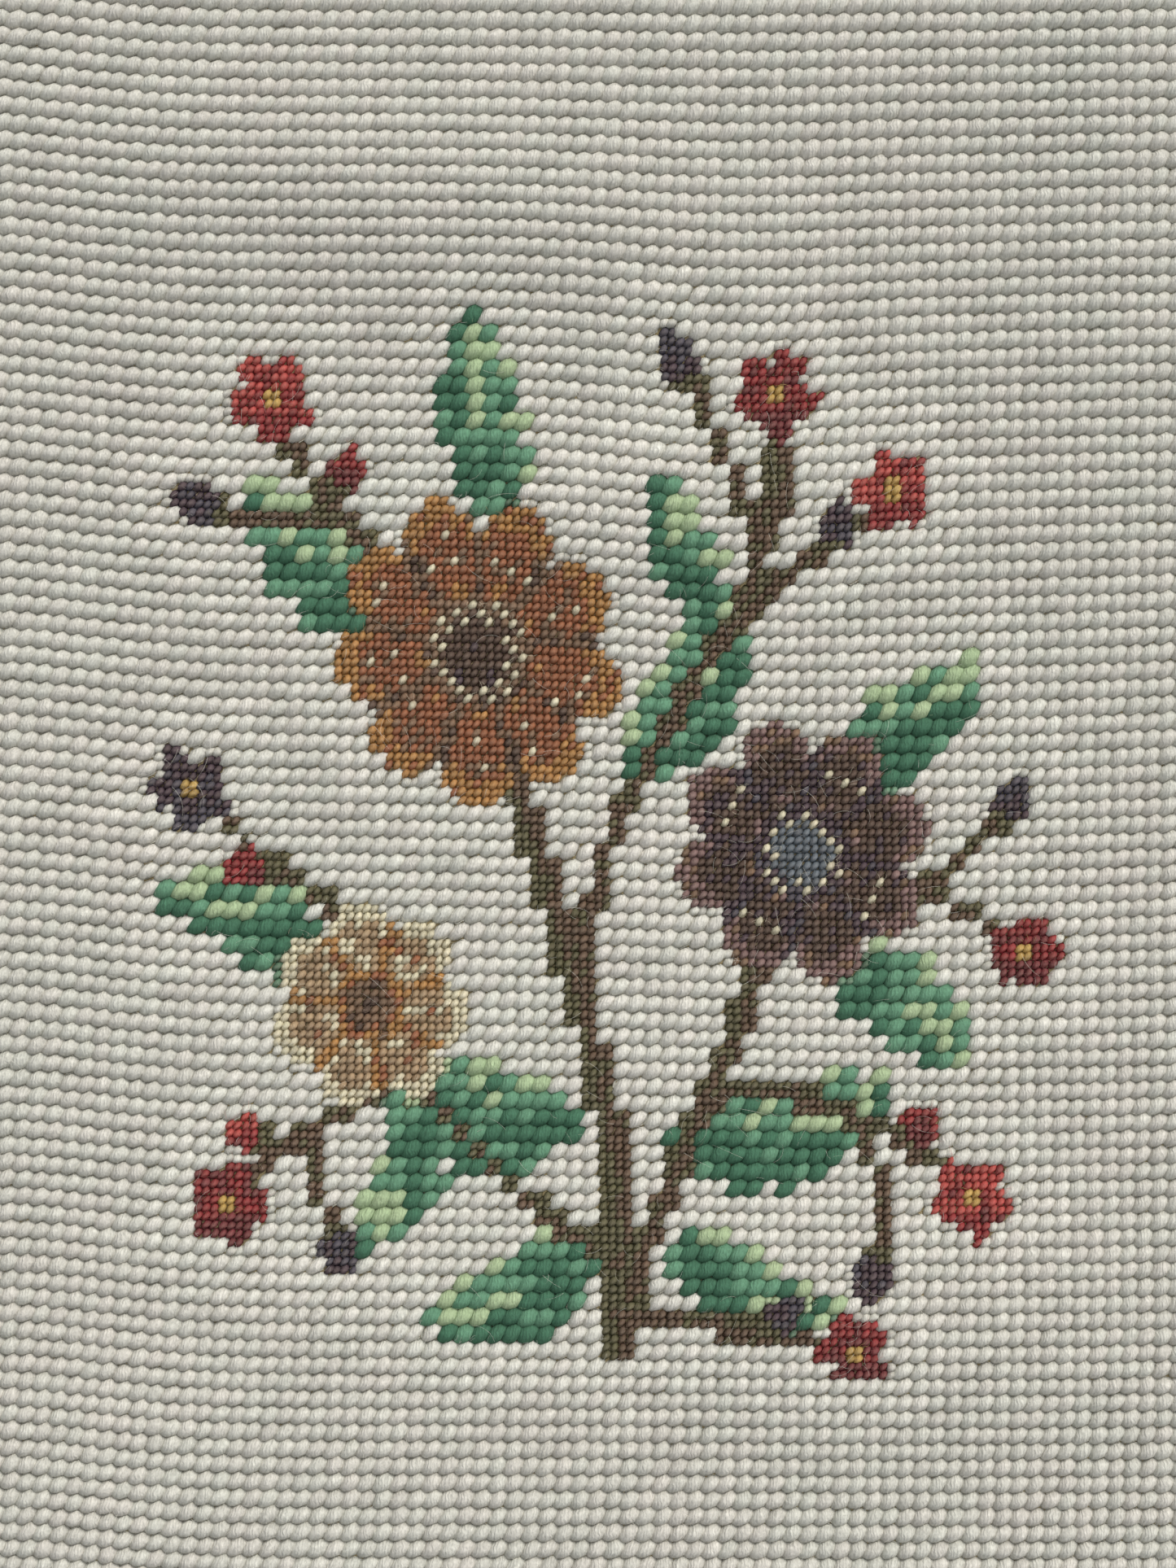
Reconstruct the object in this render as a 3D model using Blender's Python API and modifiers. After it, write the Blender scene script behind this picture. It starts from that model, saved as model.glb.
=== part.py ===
"""Needlepoint canvas panel: one sheet of canvas, worked in wool to within a bare margin.

Metres, +Z up. The panel lies on the plane z = 0 with the top of its design at +Y, and its
origin is the middle of its outline, on the surface that it rests on.
"""

import math
from collections import namedtuple

import bmesh
import bpy

MM = 0.001

# One mesh of the canvas, as the finished work has drawn it: a little narrower than tall.
MESH_ACROSS = 2.49 * MM
MESH_DOWN = 2.595 * MM
FIELD_ACROSS = 80
FIELD_DOWN = 100
MARGIN_MESHES = 5

FIELD_THICKNESS = 2.4 * MM
MARGIN_THICKNESS = 1.0 * MM
STEP_WIDTH = 0.35 * MM

# Steps of the sheet's grid: the worked field, then each margin.
STEPS_ACROSS = 32
STEPS_DOWN = 40
MARGIN_STEPS = 2

# Low parts under this height lie flat on the surface.
FLAT_BELOW = 0.06 * MM

# The corners reach a little lower than the flat middle. Between them the cut edge curls up
# and the rim swells.
CORNER_DROP = 0.04 * MM
CORNER_FROM = 0.9
EDGE_CURL = 0.3 * MM
RIM_SWELL = 0.15 * MM
RIM_REACH = 30 * MM
CORNER_SHARPNESS = 6

GROUND_COLOUR = (0.46, 0.44, 0.38, 1.0)
GROUND_ROUGHNESS = 0.9

Fold = namedtuple("Fold", "name x y reach_along reach_across turn height")
Pull = namedtuple("Pull", "name x y reach_x reach_y shift")

# Soft ridges of the lying cloth: places and reaches in millimetres from the field's middle,
# turn in degrees from +X, height in millimetres.
FOLDS = (
    Fold("upper ridge", -24, 90, 46, 15, -8, 2.1),
    Fold("middle ridge", 14, 43, 34, 13, 6, 1.8),
    Fold("right ridge", 84, 96, 62, 14, 84, 1.7),
    Fold("left swell", -92, -2, 30, 12, 76, 0.9),
    Fold("lower swell", 44, -84, 46, 16, -4, 1.3),
    Fold("corner swell", -84, -112, 25, 14, 38, 1.0),
)

# How the stitching has drawn the canvas out of square, in millimetres: upward, then across.
PULLS_UP = (
    Pull("left selvedge side", -95, 0, 25, 900, 3.2),
    Pull("right half", 55, 5, 60, 75, -2.9),
    Pull("above the design", 24, 55, 22, 50, -2.0),
)
PULLS_ACROSS = (
    Pull("left of the design", -45, 15, 50, 55, 1.7),
    Pull("lower left", -60, -125, 60, 35, -1.3),
)
LEAN_ACROSS = -0.026


def pulled(pulls, x, y):
    """How far the cloth is drawn at a point of the square lattice, all in millimetres."""
    return sum(
        p.shift * math.exp(-(((x - p.x) / p.reach_x) ** 2) - ((y - p.y) / p.reach_y) ** 2)
        for p in pulls
    )


def lifted(x, y):
    """Height in metres of the sheet's underside over the surface, 0 where it touches."""
    height = 0.0
    for fold in FOLDS:
        turn = math.radians(fold.turn)
        along = (x - fold.x) * math.cos(turn) + (y - fold.y) * math.sin(turn)
        across = (y - fold.y) * math.cos(turn) - (x - fold.x) * math.sin(turn)
        reach = (along / fold.reach_along) ** 2 + (across / fold.reach_across) ** 2
        height += fold.height * math.exp(-reach)
    return max(0.0, height * MM - FLAT_BELOW)


def grid_lines(mesh, count, steps):
    """Places of the grid's lines along one side: margin, step, worked field, step, margin."""
    half = mesh * count / 2
    margin = mesh * MARGIN_MESHES - STEP_WIDTH
    outer = [half + STEP_WIDTH + margin * i / MARGIN_STEPS for i in range(MARGIN_STEPS + 1)]
    field = [half * (2 * i / steps - 1) for i in range(steps + 1)]
    return [-line for line in reversed(outer)] + field + outer


def past_field(x, y):
    """How far a lattice point lies outside the worked field, as a share of the margin."""
    over_x = (abs(x) - MESH_ACROSS * FIELD_ACROSS / 2) / (MESH_ACROSS * MARGIN_MESHES)
    over_y = (abs(y) - MESH_DOWN * FIELD_DOWN / 2) / (MESH_DOWN * MARGIN_MESHES)
    return min(1.0, max(0.0, over_x, over_y))


def curled(x, y):
    """Rise of the sheet at a lattice point: none at the corners, most mid-way along the rim."""
    half_x = MESH_ACROSS * (FIELD_ACROSS / 2 + MARGIN_MESHES)
    half_y = MESH_DOWN * (FIELD_DOWN / 2 + MARGIN_MESHES)
    cornerward = min(abs(x) / half_x, abs(y) / half_y)
    dropped = max(0.0, (cornerward - CORNER_FROM) / (1 - CORNER_FROM))
    near = max(0.0, 1 - min(half_x - abs(x), half_y - abs(y)) / RIM_REACH)
    rim = (EDGE_CURL * past_field(x, y) + RIM_SWELL * near) * (1 - cornerward**CORNER_SHARPNESS)
    return rim + CORNER_DROP * (1 - dropped)


def place(x, y):
    """The middle of the sheet's thickness over a point of the square lattice."""
    x_mm, y_mm = x / MM, y / MM
    share = past_field(x, y)
    droop = share * share * (3 - 2 * share)
    middle = FIELD_THICKNESS / 2 + (MARGIN_THICKNESS - FIELD_THICKNESS) / 2 * droop
    return (
        x + (pulled(PULLS_ACROSS, x_mm, y_mm) + LEAN_ACROSS * y_mm) * MM,
        y + pulled(PULLS_UP, x_mm, y_mm) * MM,
        middle + lifted(x_mm, y_mm) + curled(x, y),
    )


def wool_material(name):
    material = bpy.data.materials.new(name)
    material.use_nodes = True
    shader = material.node_tree.nodes["Principled BSDF"]
    shader.inputs["Base Color"].default_value = GROUND_COLOUR
    shader.inputs["Roughness"].default_value = GROUND_ROUGHNESS
    shader.inputs["Metallic"].default_value = 0.0
    return material


def sheet_mesh(name):
    """The sheet's middle surface and, for each of its points, the share of full thickness."""
    lines_x = grid_lines(MESH_ACROSS, FIELD_ACROSS, STEPS_ACROSS)
    lines_y = grid_lines(MESH_DOWN, FIELD_DOWN, STEPS_DOWN)
    last_x, last_y = len(lines_x) - 1, len(lines_y) - 1
    sheet = bmesh.new()
    bmesh.ops.create_grid(sheet, x_segments=last_x, y_segments=last_y, size=1.0)
    shares = []
    for point in sheet.verts:
        x = lines_x[round((point.co.x + 1) / 2 * last_x)]
        y = lines_y[round((point.co.y + 1) / 2 * last_y)]
        shares.append(1.0 if past_field(x, y) == 0.0 else MARGIN_THICKNESS / FIELD_THICKNESS)
        point.co = place(x, y)
    middles = [
        (min(p.co[axis] for p in sheet.verts) + max(p.co[axis] for p in sheet.verts)) / 2
        for axis in (0, 1)
    ]
    bmesh.ops.translate(sheet, verts=sheet.verts, vec=(-middles[0], -middles[1], 0.0))
    mesh = bpy.data.meshes.new(name)
    sheet.to_mesh(mesh)
    sheet.free()
    return mesh, shares


def canvas_panel(collection):
    """The whole panel: a sheet thickened about its middle, full in the worked field."""
    mesh, shares = sheet_mesh("canvas_panel")
    mesh.materials.append(wool_material("ground wool"))
    mesh.shade_smooth()
    panel = bpy.data.objects.new("canvas_panel", mesh)
    collection.objects.link(panel)
    thickness = panel.vertex_groups.new(name="thickness")
    for index, share in enumerate(shares):
        thickness.add([index], share, "REPLACE")
    thicken = panel.modifiers.new("thickness", "SOLIDIFY")
    thicken.thickness = FIELD_THICKNESS
    thicken.offset = 0.0
    thicken.vertex_group = thickness.name
    return panel


def main():
    for old in list(bpy.data.objects):
        bpy.data.objects.remove(old)
    collection = bpy.data.collections.new("needlepoint canvas panel")
    bpy.context.scene.collection.children.link(collection)
    canvas_panel(collection)


main()
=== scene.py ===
# Needlepoint canvas panel: slanted wool stitches on double-thread canvas, with a small flower spray.
# Lengths in the dictionaries are millimetres on the flat canvas, measured from the middle of the
# worked field. Places in the flower spray count meshes of the canvas from the same middle, and the
# studio's lengths are metres. gros is the large stitch of the ground, and petit is half its size.

import math
import time

import bpy
import numpy as np
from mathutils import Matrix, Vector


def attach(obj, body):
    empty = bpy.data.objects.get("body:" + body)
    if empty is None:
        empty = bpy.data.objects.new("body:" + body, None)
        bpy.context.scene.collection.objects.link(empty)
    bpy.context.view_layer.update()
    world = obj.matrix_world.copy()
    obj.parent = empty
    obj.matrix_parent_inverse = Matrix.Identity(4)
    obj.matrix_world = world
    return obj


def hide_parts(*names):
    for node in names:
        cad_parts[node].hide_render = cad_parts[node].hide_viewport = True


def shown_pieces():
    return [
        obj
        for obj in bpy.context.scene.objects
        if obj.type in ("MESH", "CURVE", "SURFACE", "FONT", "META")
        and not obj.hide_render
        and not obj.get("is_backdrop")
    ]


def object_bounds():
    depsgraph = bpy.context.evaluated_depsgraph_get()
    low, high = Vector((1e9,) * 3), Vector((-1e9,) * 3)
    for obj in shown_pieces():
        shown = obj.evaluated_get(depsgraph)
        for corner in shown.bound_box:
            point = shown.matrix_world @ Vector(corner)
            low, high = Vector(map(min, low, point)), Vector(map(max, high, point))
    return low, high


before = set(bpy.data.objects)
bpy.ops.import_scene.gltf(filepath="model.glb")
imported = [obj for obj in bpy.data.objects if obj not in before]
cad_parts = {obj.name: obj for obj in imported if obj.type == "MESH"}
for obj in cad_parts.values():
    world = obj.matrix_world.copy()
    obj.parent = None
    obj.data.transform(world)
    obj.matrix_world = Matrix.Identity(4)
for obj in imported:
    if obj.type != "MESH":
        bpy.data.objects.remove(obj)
cadLow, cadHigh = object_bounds()
started = time.time()
mm = 0.001
rng = np.random.default_rng(81)

cloth = {
    "meshAcross": 2.49,
    "meshUp": 2.595,
    "stitchesAcross": 80,
    "stitchesUp": 100,
    "marginMeshes": 5,
    "fieldThickness": 2.4,
    "marginThickness": 1.0,
    "flatBelow": 0.06,  # swells lower than this lie flat
    "cornerDrop": 0.04,  # how much lower the corners reach than the flat middle
    "cornerFrom": 0.9,  # where a corner begins, as a share of the half length
    "edgeCurl": 0.3,  # rise of the cut edge between the corners
    "rimSwell": 0.15,  # rise of the whole rim between the corners
    "rimReach": 30,
    "rimEvenness": 6,  # the higher, the nearer to the corners the rim stays up
    "lean": -0.026,  # how far the slanted stitches have drawn the canvas over
    # x, y, reach along, reach across, turn in degrees, height
    "softRidges": {
        "upper": (-24, 90, 46, 15, -8, 2.1),
        "middle": (14, 43, 34, 13, 6, 1.8),
        "right": (84, 96, 62, 14, 84, 1.7),
        "left": (-92, -2, 30, 12, 76, 0.9),
        "lower": (44, -84, 46, 16, -4, 1.3),
        "corner": (-84, -112, 25, 14, 38, 1.0),
    },
    # x, y, reach across, reach up, shift
    "pullsUp": {
        "left side": (-95, 0, 25, 900, 3.2),
        "right half": (55, 5, 60, 75, -2.9),
        "above the design": (24, 55, 22, 50, -2.0),
    },
    "pullsAcross": {
        "left of the design": (-45, 15, 50, 55, 1.7),
        "lower left": (-60, -125, 60, 35, -1.3),
    },
}
fieldHalfAcross = cloth["meshAcross"] * cloth["stitchesAcross"] / 2
fieldHalfUp = cloth["meshUp"] * cloth["stitchesUp"] / 2
marginAcross = cloth["meshAcross"] * cloth["marginMeshes"]
marginUp = cloth["meshUp"] * cloth["marginMeshes"]
sheetHalfAcross = fieldHalfAcross + marginAcross
sheetHalfUp = fieldHalfUp + marginUp


# How far the stitching has drawn the canvas at a place on it.
def pulled(pulls, x, y):
    shift = np.zeros(np.broadcast(x, y).shape)
    for placeX, placeY, reachX, reachY, amount in pulls.values():
        shift += amount * np.exp(-(((x - placeX) / reachX) ** 2) - ((y - placeY) / reachY) ** 2)
    return shift


# Height of the underside over the table.
def lifted(x, y):
    height = np.zeros(np.broadcast(x, y).shape)
    for placeX, placeY, reachAlong, reachAcross, turn, top in cloth["softRidges"].values():
        cosine, sine = math.cos(math.radians(turn)), math.sin(math.radians(turn))
        along = (x - placeX) * cosine + (y - placeY) * sine
        across = (y - placeY) * cosine - (x - placeX) * sine
        height += top * np.exp(-((along / reachAlong) ** 2) - (across / reachAcross) ** 2)
    return np.maximum(0, height - cloth["flatBelow"])


# Rise of the sheet towards its rim, where share is how far out a place lies in the margin.
def curled(x, y, share):
    cornerward = np.minimum(np.abs(x) / sheetHalfAcross, np.abs(y) / sheetHalfUp)
    dropped = np.clip((cornerward - cloth["cornerFrom"]) / (1 - cloth["cornerFrom"]), 0, 1)
    inward = np.minimum(sheetHalfAcross - np.abs(x), sheetHalfUp - np.abs(y))
    near = np.clip(1 - inward / cloth["rimReach"], 0, 1)
    rise = cloth["edgeCurl"] * share + cloth["rimSwell"] * near
    rim = rise * (1 - cornerward.clip(0, 1) ** cloth["rimEvenness"])
    return rim + cloth["cornerDrop"] * (1 - dropped)


# Middle of the canvas over the table: it droops to the table across the bare margin.
def middleHeight(x, y):
    over = np.maximum((np.abs(x) - fieldHalfAcross) / marginAcross, (np.abs(y) - fieldHalfUp) / marginUp)
    share = np.clip(over, 0, 1)
    droop = share * share * (3 - 2 * share)
    thin = (cloth["marginThickness"] - cloth["fieldThickness"]) / 2
    return cloth["fieldThickness"] / 2 + thin * droop + lifted(x, y) + curled(x, y, share)


def drawnOut(x, y):
    drawnX = x + pulled(cloth["pullsAcross"], x, y) + cloth["lean"] * y
    return drawnX, y + pulled(cloth["pullsUp"], x, y)


# The panel's outline is centred on the frame, as its solid is.
def outlineMiddle(steps=200):
    side = np.linspace(-1, 1, steps + 1)
    end = np.ones(steps + 1)
    edgeX = np.concatenate([side, side, -end, end]) * sheetHalfAcross
    edgeY = np.concatenate([-end, end, side, side]) * sheetHalfUp
    x, y = drawnOut(edgeX, edgeY)
    return (x.min() + x.max()) / 2, (y.min() + y.max()) / 2


middleX, middleY = outlineMiddle()
shiftX = (cadLow.x + cadHigh.x) / 2 - middleX * mm
shiftY = (cadLow.y + cadHigh.y) / 2 - middleY * mm


# A point of the lying cloth, in metres, from its place on the flat canvas and its height
# over the middle of the canvas.
def onCloth(x, y, height):
    drawnX, drawnY = drawnOut(x, y)
    z = np.maximum(0, middleHeight(x, y) + height)
    return np.stack([drawnX * mm + shiftX, drawnY * mm + shiftY, z * mm], -1)


# Shapes

# Strips of quads in one mesh: each set is (points, uv, closed, attributes), its points shaped
# (strips, rings, places round the ring, 3). A closed strip is a tube with flat ends.
def stripMesh(name, sets):
    verts, quads, ends, uvs, values = [], [], [], [], {}
    start = 0
    for points, uv, closed, attributes in sets:
        count, rings, around = points.shape[:3]
        strip = start + np.arange(count)[:, None, None] * rings * around
        ring = np.arange(rings - 1)[None, :, None] * around
        side = np.arange(around if closed else around - 1)[None, None, :]
        near, far = strip + ring + side, strip + ring + (side + 1) % around
        quads.append(np.stack([near, far, far + around, near + around], -1).reshape(-1, 4))
        corner = np.stack([uv[:, :-1, :-1], uv[:, :-1, 1:], uv[:, 1:, 1:], uv[:, 1:, :-1]], -2)
        uvs.append(corner.reshape(-1, 2))
        if closed:
            first = strip[:, 0, :] + np.arange(around)[None, ::-1]
            last = strip[:, 0, :] + (rings - 1) * around + np.arange(around)[None, :]
            ends.extend(first.tolist() + last.tolist())
        verts.append(points.reshape(-1, 3))
        for key, value in attributes.items():
            values.setdefault(key, []).append(np.broadcast_to(value, points.shape[:3]).reshape(-1))
        start += count * rings * around
    faces = np.concatenate(quads).tolist() + ends
    mesh = bpy.data.meshes.new(name)
    mesh.from_pydata(np.concatenate(verts).tolist(), [], faces)
    layer = mesh.uv_layers.new(name="yarn")
    endCorners = sum(len(face) for face in ends)
    flat = np.concatenate([np.concatenate(uvs), np.zeros((endCorners, 2))])
    layer.data.foreach_set("uv", flat.astype(np.float32).ravel())
    for key, parts in values.items():
        attribute = mesh.attributes.new(key, "FLOAT", "POINT")
        attribute.data.foreach_set("value", np.concatenate(parts).astype(np.float32))
    mesh.shade_smooth()
    mesh.validate()
    piece = bpy.data.objects.new(name, mesh)
    bpy.context.scene.collection.objects.link(piece)
    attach(piece, "root")
    return piece


grosStitch = {
    "slant": 0.72,  # from the stitch's middle across to its upper end
    "halfHeight": 1.65,
    "halfWidth": 1.8,
    "endWidth": 0.12,
    "square": 2.3,  # how square its outline is
    "crest": 1.52,  # over the middle of the canvas
    "endHeight": -0.2,
    "crown": 1.0,  # the lower, the flatter the stitch's back is along its length
    "round": 2.1,  # and across
    "bend": 0.1,  # how far its middle bows to one side
    "lumps": 0.05,
    "rings": 7,
    "around": 6,
    "unevenPlace": 0.09,
    "unevenLength": 0.06,
    "unevenWidth": 0.08,
    "unevenCrest": 0.18,
    "unevenSlant": 0.15,
    "slantDrift": 0.24,  # how much more it slants towards the sheet's upper left
    "aloneSlimmer": 0.26,  # where a stitch stands free of its neighbours
    "aloneSlant": 0.28,
    "aloneShorter": 0.03,
}
leafStitch = dict(
    grosStitch,
    slant=0.66,
    halfHeight=1.66,
    halfWidth=1.56,
    endWidth=0.25,
    round=1.1,
    crest=1.44,
    endHeight=0.05,
    unevenSlant=0.14,
    slantDrift=0.1,
    aloneSlimmer=0.04,
    aloneSlant=0.1,
)
petitStitch = dict(
    grosStitch,
    slant=0.42,
    halfHeight=0.88,
    halfWidth=0.71,
    square=2.2,
    crown=1.1,
    round=1.3,
    crest=1.22,
    bend=0.06,
    lumps=0.02,
    rings=5,
    around=5,
    unevenWidth=0.14,
    unevenCrest=0.32,
    unevenSlant=0.14,
    slantDrift=0.05,
)
fillStitch = dict(
    petitStitch,
    slant=0.34,
    halfHeight=0.86,
    halfWidth=0.84,
    square=3.2,
    crest=1.12,
    endHeight=-0.1,
)
backStitch = dict(
    grosStitch,
    slant=0.42,
    halfHeight=1.4,
    halfWidth=1.36,
    round=1.3,
    crest=1.2,
    endHeight=-0.25,
    lumps=0.0,
    rings=4,
    around=3,
    unevenCrest=0.0,
    slantDrift=0.05,
)
petitBack = dict(
    backStitch,
    slant=0.2,
    halfHeight=0.7,
    halfWidth=0.68,
    endWidth=0.2,
    crest=1.1,
    rings=3,
)

# How far the fibre pattern shifts with a stitch's x and y, so that neighbours look different.
patternShift = {"along": (7.3, 3.1), "around": (1.7, -5.9)}


def patternStart(x, y, direction):
    perX, perY = patternShift[direction]
    return (x * perX + y * perY)[:, None, None]


# One set of strips: a low arch of yarn over each place, leaning up to the right. side is 1 for
# the worked face and -1 for the back, and alone is how free a stitch stands, from 0 to 1.
def yarnArches(x, y, form, side=1, alone=0.0):
    count = len(x)
    wider, leaned, lower, bowed, movedX, movedY, tint, longer = rng.uniform(-1, 1, (8, count, 1, 1))
    alone = np.broadcast_to(alone, (count,))[:, None, None]
    v = np.sin(np.linspace(-math.pi / 2, math.pi / 2, form["rings"]))[None, :, None]
    psi = np.linspace(-math.pi / 2, math.pi / 2, form["around"])[None, None, :]
    outline = (1 - np.abs(v) ** form["square"]) ** (1 / form["square"])
    crown = (1 - v * v) ** form["crown"]
    halfWidth = form["halfWidth"] * (1 + form["unevenWidth"] * wider) - form["aloneSlimmer"] * alone
    width = form["endWidth"] + (halfWidth - form["endWidth"]) * outline
    upperLeft = (y / fieldHalfUp - x / fieldHalfAcross)[:, None, None] / 2
    slant = form["slant"] + form["unevenSlant"] * leaned + form["aloneSlant"] * alone
    slant = slant + form["slantDrift"] * upperLeft
    crest = form["crest"] - form["unevenCrest"] * (1 + lower) / 2
    skirt = form["endHeight"]
    height = skirt + (crest - skirt) * crown * np.cos(psi).clip(0, 1) ** form["round"]
    height = height + form["lumps"] * crown * np.cos(psi) * rng.normal(0, 1, height.shape)
    across = slant * v + width * np.sin(psi) + form["bend"] * bowed * (1 - v * v)
    halfHeight = form["halfHeight"] * (1 + form["unevenLength"] * longer) - form["aloneShorter"] * alone
    up = halfHeight * v + 0 * psi
    pointX = x[:, None, None] + form["unevenPlace"] * movedX + across
    pointY = y[:, None, None] + form["unevenPlace"] * movedY + up
    points = onCloth(pointX, pointY, side * height)
    along = np.hypot(1, slant / form["halfHeight"]) * up + patternStart(x, y, "along")
    around = psi * width + patternStart(x, y, "around")
    uv = np.stack(np.broadcast_arrays(along, around), -1)
    sunk = 1 - (height - skirt) / (form["crest"] - skirt)
    if side < 0:
        points, uv, sunk = points[:, :, ::-1], uv[:, :, ::-1], sunk[:, :, ::-1]
    return points, uv, False, {"tint": tint, "sunk": sunk}


# Short hairs that stand off the wool of each stitch, as narrow ribbons.
wispLook = {
    "perStitch": {"gros": 2.8, "petit": 3.1},
    "spread": {"gros": 1.1, "petit": 0.6},
    "atEnds": 0.6,  # share of the hairs that start at an end of their stitch
    "pastEnds": (0.7, 1.3),
    "length": (0.5, 1.5),
    "halfWidth": 0.016,
    "taper": 0.6,
    "heading": math.radians(55),
    "headingSpread": 0.8,
    "curl": 1.3,
    "height": (0.8, 1.44),
    "droop": 0.25,
    "tilt": 0.12,
}


def wisps(x, y, kind):
    look = wispLook
    count = int(len(x) * look["perStitch"][kind])
    spread = look["spread"][kind]
    chosen = rng.integers(0, len(x), count)
    startX = x[chosen] + rng.uniform(-spread, spread, count)
    ends = np.sign(rng.uniform(-1, 1, count)) * rng.uniform(*look["pastEnds"], count)
    atEnd = rng.random(count) < look["atEnds"]
    startY = y[chosen] + spread * np.where(atEnd, ends, rng.uniform(-1, 1, count))
    length = rng.uniform(*look["length"], count)[:, None]
    t = np.linspace(0, 1, 3)[None, :]
    heading = rng.normal(look["heading"], look["headingSpread"], count)[:, None]
    heading = heading + rng.uniform(-1, 1, (count, 1)) * look["curl"] * t
    pathX = startX[:, None] + np.cumsum(np.cos(heading) * length / 2, 1)
    pathY = startY[:, None] + np.cumsum(np.sin(heading) * length / 2, 1)
    top = rng.uniform(*look["height"], (count, 1))
    height = top * (1 - look["droop"] * (1 - np.sin(math.pi * t)))
    height = height + look["tilt"] * t * rng.uniform(-1, 1, (count, 1))
    side = np.array([1, -1])[None, None, :] * look["halfWidth"] * (1 - look["taper"] * t)[:, :, None]
    pointX = pathX[:, :, None] - np.sin(heading)[:, :, None] * side
    pointY = pathY[:, :, None] + np.cos(heading)[:, :, None] * side
    points = onCloth(pointX, pointY, height[:, :, None] + 0 * side)
    uv = np.stack(np.broadcast_arrays((t * length)[:, :, None], side), -1)
    return points, uv, False, {"tint": rng.uniform(-1, 1, (count, 1, 1)), "sunk": 0.0}


# The chart

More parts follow.
